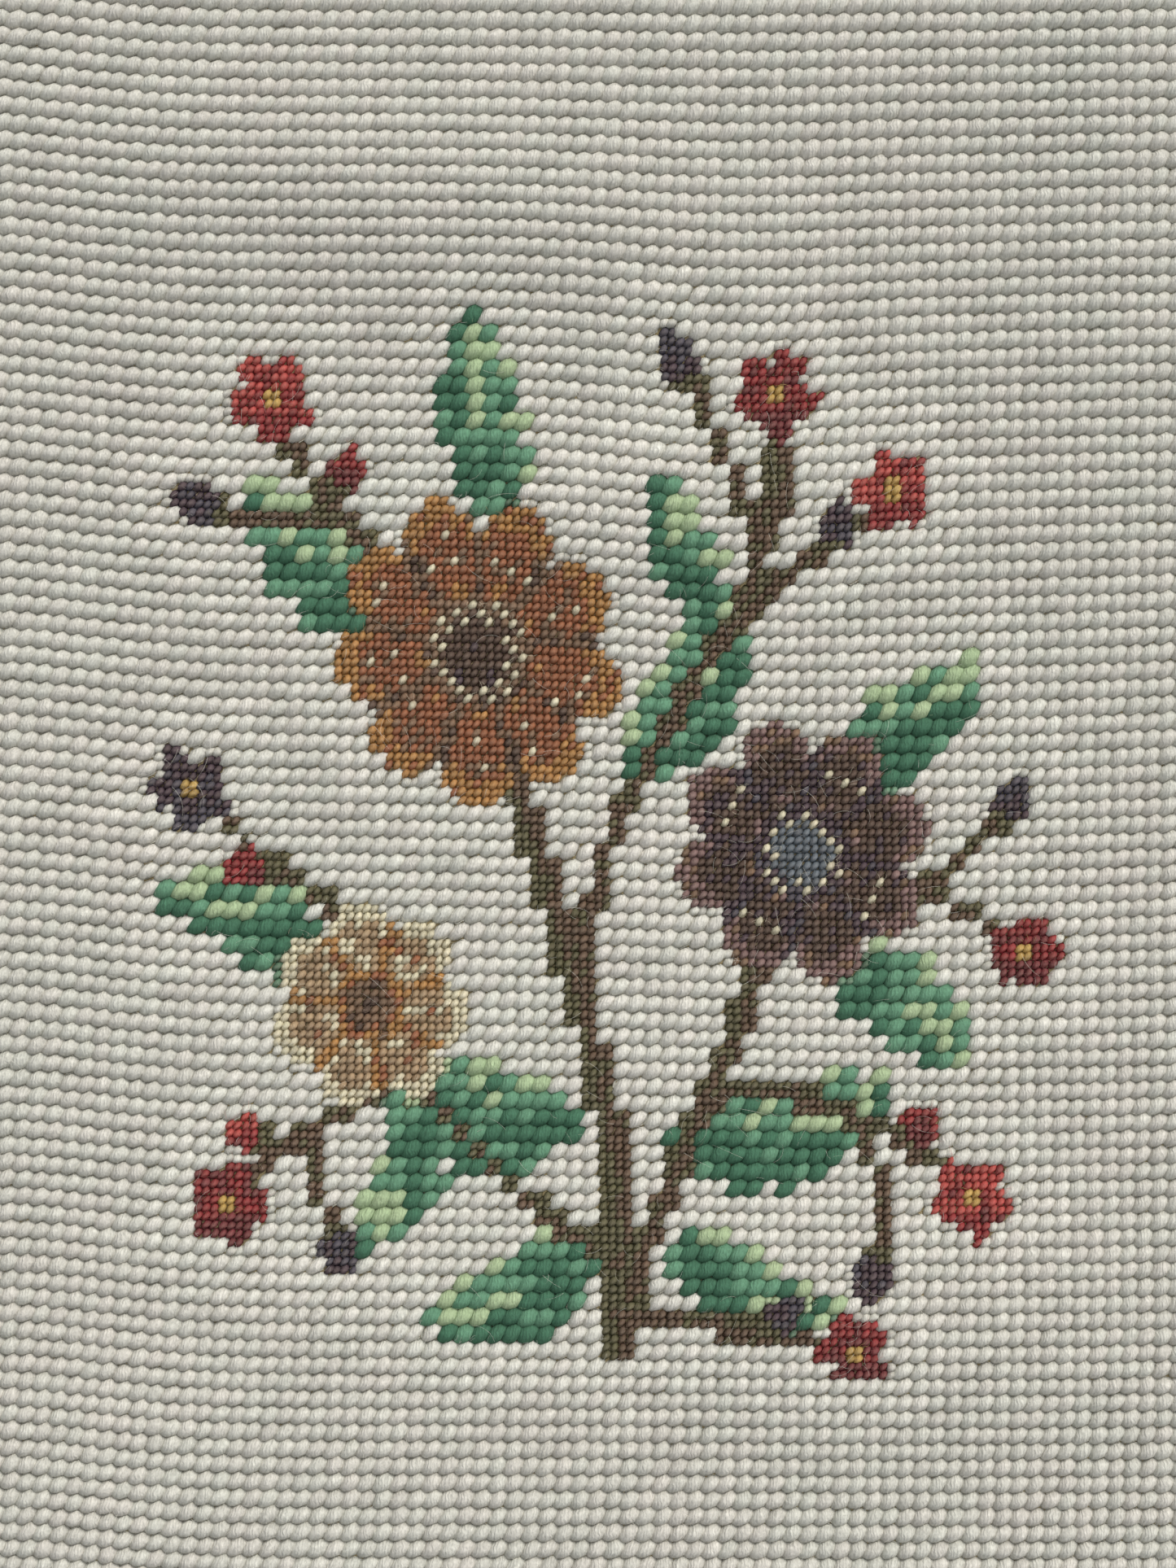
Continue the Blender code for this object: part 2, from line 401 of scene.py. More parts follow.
spray = {
    # x, y, length, width, heading in degrees, bow
    "leaves": {
        "low left": (-1, -20, 15, 7.6, 166, 1.2),
        "low right": (4, -21, 15, 7.6, 16, -1.2),
        "foot left": (0, -27, 12, 6.2, 204, 0.8),
        "foot right": (4, -27, 12, 6.0, -22, -0.8),
        "upper right": (2, 1, 14, 7.2, 58, -1.0),
        "upper left": (-11, 9, 13, 6.6, 138, 1.0),
        "far right": (16, 0, 12, 6.6, 44, 0.9),
        "under right": (14, -9, 12, 6.2, -38, 0.8),
        "far left": (-16, -11, 12, 6.2, 158, -0.9),
        "top": (-5, 15, 13, 6.4, 96, 0.7),
        "high": (8, 11, 9, 4.8, 112, 0.5),
        "under left": (-10, -20, 9, 5.0, 238, 0.4),
    },
    # four points of a smooth stem, then its thickness
    "stems": {
        "main": ((1, -34), (1, -22), (-2, -9), (-6, 4), 0.78),
        "right": ((1, -31), (5, -22), (9, -13), (12, -5), 0.62),
        "left": ((1, -28), (-5, -24), (-10, -19), (-14, -14), 0.55),
        "high right": ((-1, -10), (4, 3), (10, 13), (12, 22), 0.5),
        "high fork": ((7.5, 8.5), (11, 12.5), (14.5, 15), (18, 17), 0.42),
        "high tip": ((10.6, 16), (9.4, 19), (8, 22), (6.5, 25), 0.36),
        "high left": ((-6, 10), (-12, 13), (-16, 16.5), (-19, 21), 0.5),
        "high left fork": ((-15, 15.5), (-18, 15.6), (-21, 15.8), (-23, 16.5), 0.36),
        "far left": ((-12, -17), (-16, -19.5), (-19.5, -21.5), (-22, -24), 0.5),
        "far left fork": ((-17, -20), (-17.4, -22.6), (-17, -25), (-16.5, -27), 0.36),
        "far right": ((6.5, -18), (13, -18), (18, -20), (22, -23), 0.5),
        "far right fork": ((15, -18.8), (16.8, -21.5), (17.3, -24.5), (17, -28), 0.36),
        "side right": ((15, -4), (19, -4.6), (22, -6), (25.5, -8), 0.42),
        "side right fork": ((20, -4.8), (22.2, -3.8), (24, -2.4), (25.4, -0.6), 0.34),
        "foot": ((1, -31), (6, -31.6), (10, -32.4), (14, -33), 0.42),
        "side left": ((-13, -10), (-18, -6), (-21, -4), (-24, -1), 0.42),
    },
    # x, y, radius, petals, turn in degrees, then shades: edge, petal, shadow, heart, speck
    "blooms": {
        "rust": (-7, 8, 9.2, 9, 12, "ochre", "rust", "brown", "darkBrown", "cream"),
        "plum": (13, -3, 8.0, 8, 30, "mauve", "darkBrown", "plum", "slate", "cream"),
        "cream": (-14, -13, 6.2, 7, 5, "cream", "tan", "ochre", "brown", "rust"),
    },
    # x, y, radius, turn in degrees, then shades: petal, shadow
    "florets": [
        (12, 24, 2.8, 10, "crimson", "burgundy"),
        (19, 18.2, 2.6, 40, "coral", "crimson"),
        (-19, 22.5, 2.8, 20, "coral", "crimson"),
        (-23, -25, 2.7, 0, "crimson", "burgundy"),
        (23, -24, 2.8, 15, "coral", "crimson"),
        (26.5, -9, 2.5, 70, "crimson", "burgundy"),
        (-25, -0.5, 2.7, 25, "plum", "navy"),
        (15.5, -33.3, 2.4, 35, "crimson", "burgundy"),
    ],
    # x, y, length, width, heading in degrees, then shades: bud, shadow
    "buds": [
        (6.8, 24, 4.0, 2.8, 112, "navy", "plum"),
        (15.2, 14.8, 3.2, 2.4, 78, "plum", "navy"),
        (-22, 16, 3.8, 2.7, 170, "plum", "navy"),
        (-15.4, 17, 3.2, 2.4, 64, "crimson", "burgundy"),
        (-16.6, -26, 3.8, 2.7, 282, "navy", "plum"),
        (-20.5, -21.2, 3.0, 2.3, 160, "coral", "crimson"),
        (17, -27, 3.8, 2.7, 262, "plum", "navy"),
        (18.4, -20.2, 3.2, 2.4, 20, "crimson", "burgundy"),
        (25, -1.4, 3.6, 2.6, 58, "navy", "plum"),
        (10, -32.2, 3.0, 2.3, 40, "navy", "plum"),
        (-20, -4.6, 3.2, 2.4, 196, "crimson", "burgundy"),
    ],
    "stitchedEye": "gold",
    "cup": "olive",
    "litStem": 0.35,  # how far a stem's light side is shifted from its middle
    "strayShades": {  # now and then a stitch takes the shade beside it
        "rust": "brown",
        "darkBrown": "plum",
        "tan": "cream",
        "brown": "darkBrown",
        "mauve": "brown",
        "plum": "navy",
        "navy": "plum",
        "crimson": "burgundy",
        "coral": "crimson",
        "ochre": "rust",
        "bark": "olive",
        "leafDark": "leafMid",
        "leafMid": "leafDark",
    },
    "strayShare": 0.18,
}

# The whiter wool round the design: how far it reaches in meshes, and how ragged its border is.
halo = {"reach": 4, "border": 0.5, "ragged": 0.2}

# Each wool's colour on the sRGB scale, 0 to 255, and the record's slot for it.
woolShades = {
    "leafDark": ((71, 112, 89), "leaf_wool"),
    "leafMid": ((102, 145, 118), "leaf_wool"),
    "leafLight": ((168, 186, 148), "leaf_wool"),
    "olive": ((84, 82, 52), "stem_wool"),
    "bark": ((92, 68, 52), "stem_wool"),
    "crimson": ((146, 24, 38), "bud_wool"),
    "coral": ((184, 66, 64), "bud_wool"),
    "burgundy": ((112, 24, 40), "bud_wool"),
    "plum": ((58, 38, 58), "bud_wool"),
    "navy": ((62, 60, 78), "bud_wool"),
    "gold": ((196, 158, 84), "flower_wool"),
    "darkBrown": ((74, 50, 42), "flower_wool"),
    "brown": ((122, 92, 70), "flower_wool"),
    "tan": ((170, 142, 110), "flower_wool"),
    "rust": ((150, 86, 52), "flower_wool"),
    "ochre": ((178, 126, 66), "flower_wool"),
    "cream": ((224, 214, 186), "flower_wool"),
    "slate": ((92, 104, 116), "flower_wool"),
    "mauve": ((126, 96, 96), "flower_wool"),
    "ground": ((206, 203, 195), "ground_wool"),
    "white": ((215, 212, 204), "ground_wool"),
}


# Places of the cells of a chart, in meshes from the middle of the field.
def cellPlaces(perMesh):
    x = (np.arange(cloth["stitchesAcross"] * perMesh) + 0.5) / perMesh - cloth["stitchesAcross"] / 2
    y = (np.arange(cloth["stitchesUp"] * perMesh) + 0.5) / perMesh - cloth["stitchesUp"] / 2
    return np.meshgrid(x, y, indexing="ij")


# Distances in meshes, and shares of the way from the leaf's foot to its tip.
leafShape = {
    "skew": 0.85,  # below 1, the leaf is widest nearer to its foot
    "fullness": 0.75,  # the lower, the blunter its ends
    "leastHalf": 0.35,
    "toothPitch": 2.9,
    "toothDepth": 0.26,
    "toothOffset": 0.3,  # of one side against the other
    "veinPitch": 4.4,
    "veinWidth": 1.0,
    "veinLean": 0.9,
    "veinFrom": 0.9,
    "lightVeinFrom": 0.3,
    "lightRim": 1.1,
    "lightTooth": 0.45,
    "ribHalf": 0.5,
    "ribFrom": 0.5,
    "ribTo": 0.9,
    "darkHalf": 1.3,
    "darkTo": 0.35,
}


def paintLeaf(chart, x, y, leaf):
    baseX, baseY, length, width, heading, bow = leaf
    shape = leafShape
    turn = math.radians(heading)
    along = ((x - baseX) * math.cos(turn) + (y - baseY) * math.sin(turn)) / length
    across = (y - baseY) * math.cos(turn) - (x - baseX) * math.sin(turn)
    reach = np.clip(along, 0, 1)
    across = across - bow * np.sin(math.pi * reach)
    off = np.abs(across)
    upper = across * math.cos(turn) > 0
    tooth = np.mod(reach * length / shape["toothPitch"] + shape["toothOffset"] * (across > 0), 1)
    half = width / 2 * np.sin(math.pi * reach ** shape["skew"]) ** shape["fullness"]
    half = half * (1 - shape["toothDepth"] * tooth)
    inside = (along > 0) & (along < 1) & (off < np.maximum(half, shape["leastHalf"]))
    vein = np.mod(along * length - off * shape["veinLean"], shape["veinPitch"]) < shape["veinWidth"]
    vein = inside & vein & (off > shape["veinFrom"])
    lightTooth = (off > half - shape["lightRim"]) & (tooth < shape["lightTooth"])
    rib = (off < shape["ribHalf"]) & (along > shape["ribFrom"]) & (along < shape["ribTo"])
    chart[inside] = "leafDark"
    chart[inside & upper] = "leafMid"
    chart[inside & upper & lightTooth] = "leafLight"
    chart[vein & ~upper] = "leafMid"
    chart[vein & upper & (along > shape["lightVeinFrom"])] = "leafLight"
    chart[inside & rib] = "leafLight"
    chart[inside & upper & (along < shape["darkTo"]) & (off < shape["darkHalf"])] = "leafDark"


# Places at small steps along the smooth curve through four points.
def stemLine(points, steps=90):
    t = np.linspace(0, 1, steps)[:, None]
    a, b, c, d = (np.array(p, float) for p in points)
    inner, outer = (-5 * a + 18 * b - 9 * c + 2 * d) / 6, (2 * a - 9 * b + 18 * c - 5 * d) / 6
    return a * (1 - t) ** 3 + inner * 3 * t * (1 - t) ** 2 + outer * 3 * t * t * (1 - t) + d * t ** 3


def paintStem(chart, x, y, stem):
    line, thickness = stemLine(stem[:4]), stem[4]
    offX, offY = x[..., None] - line[:, 0], y[..., None] - line[:, 1]
    away = np.min(np.hypot(offX, offY), -1)
    lit = np.min(np.hypot(offX + spray["litStem"], offY - spray["litStem"]), -1)
    chart[away < thickness] = "bark"
    chart[(away < thickness) & (lit < away)] = "olive"


# Shares of the blossom's radius. A lobe is 0 between two petals and 1 in the middle of one.
bloomShape = {
    "notch": 0.26,
    "notchSharpness": 0.7,
    "edge": 0.17,
    "creaseLobe": 0.3,
    "creaseFrom": 0.3,
    "footLobe": 0.86,
    "footTo": 0.46,
    "shadowTo": 0.36,
    "specksFrom": 0.2,
    "specksTo": 0.33,
    "heartTo": 0.25,
    "flecksFrom": 0.5,
    "flecksOffRim": 0.2,
}


def paintBloom(chart, x, y, bloom):
    middleX, middleY, radius, petals, turn, edge, petal, shadow, heart, speck = bloom
    shape = bloomShape
    distance = np.hypot(x - middleX, y - middleY) / radius
    angle = np.arctan2(y - middleY, x - middleX) + math.radians(turn)
    lobe = np.abs(np.cos(angle * petals / 2))
    rim = (1 - shape["notch"]) + shape["notch"] * lobe ** shape["notchSharpness"]
    inside = distance < rim
    column, row = np.floor(x * 2), np.floor(y * 2)
    specks = (distance > shape["specksFrom"]) & (distance < shape["specksTo"])
    flecks = (distance > shape["flecksFrom"]) & (distance < rim - shape["flecksOffRim"])
    flecks = flecks & (np.mod(np.floor(distance * radius * 2), 3) == 1)
    chart[inside] = petal
    chart[inside & (distance > rim - shape["edge"])] = edge
    chart[inside & (lobe < shape["creaseLobe"]) & (distance > shape["creaseFrom"])] = shadow
    chart[inside & (lobe > shape["footLobe"]) & (distance < shape["footTo"])] = edge
    chart[distance < shape["shadowTo"]] = shadow
    chart[distance < shape["heartTo"]] = heart
    chart[specks & ((column + row) % 3 == 0)] = speck
    chart[inside & flecks & (np.mod(column + 2 * row, 5) == 0)] = speck


# Shares of the floret's radius and of the bud's length.
floretShape = {"petals": 5, "notch": 0.38, "creaseLobe": 0.35, "shadedBelow": 0.28, "eye": 0.24}
budShape = {"skew": 0.7, "fullness": 0.6, "shadedTo": 0.55, "shadedBelow": 0.5, "cupTo": 0.2}


def paintFloret(chart, x, y, floret):
    middleX, middleY, radius, turn, petal, shadow = floret
    shape = floretShape
    distance = np.hypot(x - middleX, y - middleY) / radius
    angle = np.arctan2(y - middleY, x - middleX) + math.radians(turn)
    lobe = np.abs(np.cos(angle * shape["petals"] / 2))
    inside = distance < (1 - shape["notch"]) + shape["notch"] * lobe
    chart[inside] = petal
    chart[inside & (y < middleY - shape["shadedBelow"] * radius)] = shadow
    chart[inside & (lobe < shape["creaseLobe"])] = shadow
    chart[distance < shape["eye"]] = spray["stitchedEye"]


def paintBud(chart, x, y, bud):
    baseX, baseY, length, width, heading, shade, shadow = bud
    shape = budShape
    turn = math.radians(heading)
    along = ((x - baseX) * math.cos(turn) + (y - baseY) * math.sin(turn)) / length
    across = np.abs((y - baseY) * math.cos(turn) - (x - baseX) * math.sin(turn))
    half = width / 2 * np.sin(math.pi * along.clip(0, 1) ** shape["skew"]) ** shape["fullness"]
    inside = (along > 0) & (along < 1) & (across < half)
    under = y < baseY + shape["shadedBelow"] * length * math.sin(turn)
    chart[inside] = shade
    chart[inside & (along < shape["shadedTo"]) & under] = shadow
    chart[inside & (along < shape["cupTo"])] = spray["cup"]


# How many of each large cell's four quarters are worked.
def workedQuarters(petit):
    worked = (petit != "").astype(int)
    return worked[::2, ::2] + worked[1::2, ::2] + worked[::2, 1::2] + worked[1::2, 1::2]


# Names of the wool in each large cell, and in each quarter cell where fine stitches take over.
# A lone quarter is left out, and a stem that takes two or three quarters fills the cell.
def chartSpray():
    grosX, grosY = cellPlaces(1)
    gros = np.full(grosX.shape, "ground", dtype="U12")
    for leaf in spray["leaves"].values():
        paintLeaf(gros, grosX, grosY, leaf)
    petitX, petitY = cellPlaces(2)
    petit = np.full(petitX.shape, "", dtype="U12")
    for stem in spray["stems"].values():
        paintStem(petit, petitX, petitY, stem)
    for bloom in spray["blooms"].values():
        paintBloom(petit, petitX, petitY, bloom)
    for bud in spray["buds"]:
        paintBud(petit, petitX, petitY, bud)
    for floret in spray["florets"]:
        paintFloret(petit, petitX, petitY, floret)
    quarters = workedQuarters(petit)
    petit[np.repeat(np.repeat(quarters == 1, 2, 0), 2, 1)] = ""
    for column, row in np.argwhere((quarters == 2) | (quarters == 3)):
        cell = petit[2 * column:2 * column + 2, 2 * row:2 * row + 2]
        if np.isin(cell, ("bark", "olive", "")).all():
            for beside in (cell[::-1].copy(), cell[:, ::-1].copy()):
                cell[cell == ""] = beside[cell == ""]
    quarters = workedQuarters(petit)
    worked = petit != ""
    fine = np.repeat(np.repeat(quarters > 0, 2, 0), 2, 1)
    under = np.repeat(np.repeat(gros, 2, 0), 2, 1)
    petit[fine & ~worked] = under[fine & ~worked]
    gros[quarters > 0] = ""
    return gros, petit


# How near each cell is to the design, from 0 far away to 1 beside it.
def nearDesign():
    x, y = cellPlaces(1)
    design = gros != "ground"
    away = np.full(x.shape, np.inf)
    for column, row in zip(x[design], y[design]):
        away = np.minimum(away, (x - column) ** 2 + (y - row) ** 2)
    return np.exp(-away / halo["reach"] ** 2)


gros, petit = chartSpray()
for chart in (gros, petit):
    swapped = rng.random(chart.shape) < spray["strayShare"]
    before = chart.copy()
    for wool, other in spray["strayShades"].items():
        chart[swapped & (before == wool)] = other
near = nearDesign()
border = halo["border"] + rng.uniform(-halo["ragged"], halo["ragged"], near.shape)
gros[(gros == "ground") & (near > border)] = "white"
petit[petit == "ground"] = "white"
print("chart", (gros == "ground").sum(), "ground,", (petit != "").sum(), "fine stitches")


# Materials

def linear(colour):
    parts = [c / 255 for c in colour]
    return tuple(p / 12.92 if p <= 0.04045 else ((p + 0.055) / 1.055) ** 2.4 for p in parts) + (1.0,)


def makeGroup(name, inputs, outputs):
    group = bpy.data.node_groups.new(name, "ShaderNodeTree")
    for label, kind, value in inputs:
        socket = group.interface.new_socket(label, in_out="INPUT", socket_type=kind)
        socket.default_value = value
    for label, kind in outputs:
        group.interface.new_socket(label, in_out="OUTPUT", socket_type=kind)
    given = group.nodes.new("NodeGroupInput")
    result = group.nodes.new("NodeGroupOutput")
    return group, given, result


def mathNode(tree, operation, first, second=None, third=None):
    node = tree.nodes.new("ShaderNodeMath")
    node.operation = operation
    for index, value in enumerate((first, second, third)):
        if value is None:
            continue
        if isinstance(value, (int, float)):
            node.inputs[index].default_value = value
        else:
            tree.links.new(value, node.inputs[index])
    return node.outputs[0]


def noiseNode(tree, vector, scale, detail, roughness=0.5):
    node = tree.nodes.new("ShaderNodeTexNoise")
    node.inputs["Scale"].default_value = scale
    node.inputs["Detail"].default_value = detail
    node.inputs["Roughness"].default_value = roughness
    tree.links.new(vector, node.inputs["Vector"])
    return node.outputs["Fac"]


def mixColour(tree, blend, amount, first, second):
    node = tree.nodes.new("ShaderNodeMix")
    node.data_type = "RGBA"
    node.blend_type = blend
    for socket, value in ((node.inputs[0], amount), (node.inputs[6], first), (node.inputs[7], second)):
        if isinstance(value, (int, float, tuple)):
            socket.default_value = value
        else:
            tree.links.new(value, socket)
    return node.outputs[2]


def asColour(tree, value):
    node = tree.nodes.new("ShaderNodeCombineColor")
    for socket in node.inputs:
        tree.links.new(value, socket)
    return node.outputs[0]


fibreLook = {
    "swayScale": 620.0,
    "sway": 1.1,
    "stretch": 0.8,  # the lower, the longer the fibres
    "detail": 4.0,
    "roughness": 0.65,
}


# Fibres that run along the yarn and twist round it, from its own length and girth in millimetres.
def fibreTwistGroup():
    look = fibreLook
    tree, given, result = makeGroup(
        "fibreTwist",
        [
            ("Twist", "NodeSocketFloat", 0.35),
            ("Fineness", "NodeSocketFloat", 5.0),
            ("Ply Width", "NodeSocketFloat", 0.5),
        ],
        [("Fibres", "NodeSocketFloat"), ("Plies", "NodeSocketFloat")],
    )
    yarn = tree.nodes.new("ShaderNodeUVMap")
    yarn.uv_map = "yarn"
    parts = tree.nodes.new("ShaderNodeSeparateXYZ")
    tree.links.new(yarn.outputs["UV"], parts.inputs[0])
    place = tree.nodes.new("ShaderNodeTexCoord")
    waver = noiseNode(tree, place.outputs["Object"], look["swayScale"], 2.0)
    sway = mathNode(tree, "MULTIPLY_ADD", waver, look["sway"], parts.outputs["Y"])
    turned = mathNode(tree, "MULTIPLY_ADD", parts.outputs["X"], given.outputs["Twist"], sway)
    fine = mathNode(tree, "MULTIPLY", turned, given.outputs["Fineness"])
    slow = mathNode(tree, "MULTIPLY", parts.outputs["X"], look["stretch"])
    stretched = tree.nodes.new("ShaderNodeCombineXYZ")
    tree.links.new(slow, stretched.inputs["X"])
    tree.links.new(fine, stretched.inputs["Y"])
    fibres = noiseNode(tree, stretched.outputs[0], 1.0, look["detail"], look["roughness"])
    phase = mathNode(tree, "DIVIDE", turned, given.outputs["Ply Width"])
    wave = mathNode(tree, "SINE", mathNode(tree, "MULTIPLY", phase, math.tau))
    plies = mathNode(tree, "MULTIPLY_ADD", wave, 0.5, 0.5)
    tree.links.new(fibres, result.inputs["Fibres"])
    tree.links.new(plies, result.inputs["Plies"])
    return tree


strandLook = {
    "patchScale": 34.0,
    "strandShare": 0.3,  # how much of the drift changes from strand to strand
    "greener": (0.965, 1.0, 0.965, 1),
    "warmer": (1.03, 0.985, 0.975, 1),
    "lots": 6.7,  # makes a second random value from a strand's tint
    "aboveZero": 20.0,
    "mottleScale": 1700.0,
    "mottleDetail": 3.0,
    "mottleRoughness": 0.65,
    "mottle": 0.7,
    "mottleFrom": 0.65,
    "contrast": 2.3,
    "plyShare": 0.12,
    "streakDark": (0.62, 0.62, 0.6, 1),
    "streakLight": (1.2, 1.2, 1.19, 1),
    # Colour of the painted highlight laid on the stitches' proud tops.
    "paintedHighlight": (0.4, 0.33, 0.26, 1),
    # Colour of the painted shade where the stitches sink between the canvas threads.
    "paintedShade": (0.5, 0.5, 0.455, 1),
}


# Colour of a stitch: its wool, a little warmer or greener from strand to strand, streaked by its fibres,
# with a painted highlight on its proud top, as where fuzz catches the light, and painted shade where it
# sinks between the canvas threads.
def strandColourGroup():
    look = strandLook
    tree, given, result = makeGroup(
        "strandColour",
        [
            ("Wool", "NodeSocketColor", (0.6, 0.6, 0.5, 1)),
            ("Fibres", "NodeSocketFloat", 0.5),
            ("Plies", "NodeSocketFloat", 0.5),
            ("Streaks", "NodeSocketFloat", 0.3),
            ("Drift", "NodeSocketFloat", 0.5),
            ("Uneven", "NodeSocketFloat", 0.1),
            ("Painted Shade", "NodeSocketFloat", 0.3),
            ("Sink", "NodeSocketFloat", 2.0),
            ("Painted Highlight", "NodeSocketFloat", 0.0),
        ],
        [("Colour", "NodeSocketColor")],
    )
    tint = tree.nodes.new("ShaderNodeAttribute")
    tint.attribute_name = "tint"
    sunk = tree.nodes.new("ShaderNodeAttribute")
    sunk.attribute_name = "sunk"
    place = tree.nodes.new("ShaderNodeTexCoord")
    patches = noiseNode(tree, place.outputs["Object"], look["patchScale"], look["mottleDetail"])
    strand = mathNode(tree, "MULTIPLY_ADD", tint.outputs["Fac"], look["strandShare"], patches)
    warm = mixColour(tree, "MIX", strand, look["greener"], look["warmer"])
    drifted = mixColour(tree, "MULTIPLY", given.outputs["Drift"], given.outputs["Wool"], warm)
    lot = mathNode(tree, "MULTIPLY_ADD", tint.outputs["Fac"], look["lots"], look["aboveZero"])
    lot = mathNode(tree, "SUBTRACT", mathNode(tree, "FRACT", lot), 0.5)
    mottle = noiseNode(tree, place.outputs["Object"], look["mottleScale"], look["mottleDetail"],
                       look["mottleRoughness"])
    mottle = mathNode(tree, "MULTIPLY_ADD", mottle, look["mottle"], look["mottleFrom"])
    level = mathNode(tree, "MULTIPLY_ADD", lot, given.outputs["Uneven"], 1.0)
    level = mathNode(tree, "MULTIPLY", level, mottle)
    drifted = mixColour(tree, "MULTIPLY", 1.0, drifted, asColour(tree, level))
    streak = mathNode(tree, "SUBTRACT", given.outputs["Fibres"], 0.5)
    streak = mathNode(tree, "MULTIPLY_ADD", streak, look["contrast"], 0.5)
    streak = mathNode(tree, "MULTIPLY_ADD", given.outputs["Plies"], look["plyShare"], streak)
    shaded = mixColour(tree, "MIX", streak, look["streakDark"], look["streakLight"])
    streaked = mixColour(tree, "MULTIPLY", given.outputs["Streaks"], drifted, shaded)
    # Painted highlight: the proud top of each stitch is lightened, as where fuzz catches the light.
    proud = mathNode(tree, "SUBTRACT", 1.0, sunk.outputs["Fac"])
    proud = mathNode(tree, "MULTIPLY", proud, given.outputs["Painted Highlight"])
    highlighted = mixColour(tree, "SCREEN", proud, streaked, look["paintedHighlight"])
    # Painted shade: darker where the wool sinks between the canvas threads, more so the deeper it lies.
    deep = mathNode(tree, "POWER", sunk.outputs["Fac"], given.outputs["Sink"])
    deep = mathNode(tree, "MULTIPLY", deep, given.outputs["Painted Shade"])
    shadedColour = mixColour(tree, "MULTIPLY", deep, highlighted, look["paintedShade"])
    tree.links.new(shadedColour, result.inputs["Colour"])
    return tree


fibreTwist = fibreTwistGroup()
strandColour = strandColourGroup()

woolFinish = {
    "roughness": 0.92,
    "streaks": 0.75,
    "drift": 0.8,
    "uneven": 0.1,
    "unevenFine": 0.42,
    # How strong the painted shade is where the wool sinks, and how soon it sets in, for large and for fine
    # wool:
    "paintedShade": 0.8,
    "sink": 2.2,
    "sinkFine": 0.9,
    # How strong the painted highlight on the stitches' tops is, for large and for fine wool:
    "paintedHighlight": 0.0,
    "paintedHighlightFine": 0.35,
    "twist": 0.32,
    "fineness": 2.8,
    "finenessFine": 4.48,
    "plyWidth": 0.55,
    "plyWidthFine": 0.33,
    "fuzz": 0.35,
    "fuzzRoughness": 0.5,
    "bump": 0.7,
    "bumpDistance": 0.3,
    "bumpDistanceFine": 0.18,
    "plyBump": 0.22,
}
dullShine = 0.25


def principled(name, roughness):
    material = bpy.data.materials.new(name)
    material.use_nodes = True
    shader = material.node_tree.nodes["Principled BSDF"]
    shader.inputs["Roughness"].default_value = roughness
    shader.inputs["Specular IOR Level"].default_value = dullShine
    return material, material.node_tree, shader


# Places both groups in a material with its own values, to give the shader its colour.
def addYarnColour(tree, shader, fibreValues, strandValues):
    fibre = tree.nodes.new("ShaderNodeGroup")
    fibre.node_tree = fibreTwist
    strand = tree.nodes.new("ShaderNodeGroup")
    strand.node_tree = strandColour
    for node, values in ((fibre, fibreValues), (strand, strandValues)):
        for label, value in values.items():
            node.inputs[label].default_value = value
    tree.links.new(fibre.outputs["Fibres"], strand.inputs["Fibres"])
    tree.links.new(fibre.outputs["Plies"], strand.inputs["Plies"])
    tree.links.new(strand.outputs["Colour"], shader.inputs["Base Color"])
    return fibre


def addBump(tree, shader, height, strength, distance):
    bump = tree.nodes.new("ShaderNodeBump")
    bump.inputs["Strength"].default_value = strength
    bump.inputs["Distance"].default_value = distance * mm
    tree.links.new(height, bump.inputs["Height"])
    tree.links.new(bump.outputs["Normal"], shader.inputs["Normal"])


def woolMaterial(name, colour, fine=False):
    look = woolFinish
    kind = "Fine" if fine else ""
    material, tree, shader = principled(name, look["roughness"])
    shader.inputs["Sheen Weight"].default_value = look["fuzz"]
    shader.inputs["Sheen Roughness"].default_value = look["fuzzRoughness"]
    shader.inputs["Sheen Tint"].default_value = linear(colour)
    fibreValues = {
        "Twist": look["twist"],
        "Fineness": look["fineness" + kind],
        "Ply Width": look["plyWidth" + kind],
    }
    strandValues = {
        "Wool": linear(colour),
        "Streaks": look["streaks"],
        "Drift": look["drift"],
        "Uneven": look["uneven" + kind],
        "Painted Shade": look["paintedShade"],
        "Sink": look["sink" + kind],
        "Painted Highlight": look["paintedHighlight" + kind],
    }
    fibre = addYarnColour(tree, shader, fibreValues, strandValues)
    height = mathNode(tree, "MULTIPLY_ADD", fibre.outputs["Plies"], look["plyBump"], fibre.outputs["Fibres"])
    addBump(tree, shader, height, look["bump"], look["bumpDistance" + kind])
    return material


# Stitches

# Stitches stand free beside the design, and ever more towards the lower right. x less y, in
# meshes, tells how far that way they are: half is reached at the middle, over the spread.
standing = {"middle": 8, "spread": 34, "most": 0.35}


def standingAlone():
    x, y = cellPlaces(1)
    thinner = 0.5 + 0.5 * np.tanh((x - y - standing["middle"]) / standing["spread"])
    return np.maximum(near, standing["most"] * thinner)


# The stitches of one wool in some cells of a chart, large ones or fine ones, as one piece.
def stitchPiece(name, wool, cells, fine=False):
    x, y = cellPlaces(2 if fine else 1)
    x, y = x[cells] * cloth["meshAcross"], y[cells] * cloth["meshUp"]
    if fine:
        face = yarnArches(x, y, fillStitch if wool == "white" else petitStitch)
    else:
        form = grosStitch if wool in ("ground", "white") else leafStitch
        face = yarnArches(x, y, form, alone=alone[cells])
    back = yarnArches(x, y, petitBack if fine else backStitch, side=-1)
    hairs = wisps(x, y, "petit" if fine else "gros")
    piece = stripMesh(name, [face, back, hairs])
    colour, slot = woolShades[wool]
    label = wool + "WoolFine" if fine else wool + "Wool"
    material = bpy.data.materials.get(label) or woolMaterial(label, colour, fine)
    piece.data.materials.append(material)
    return piece


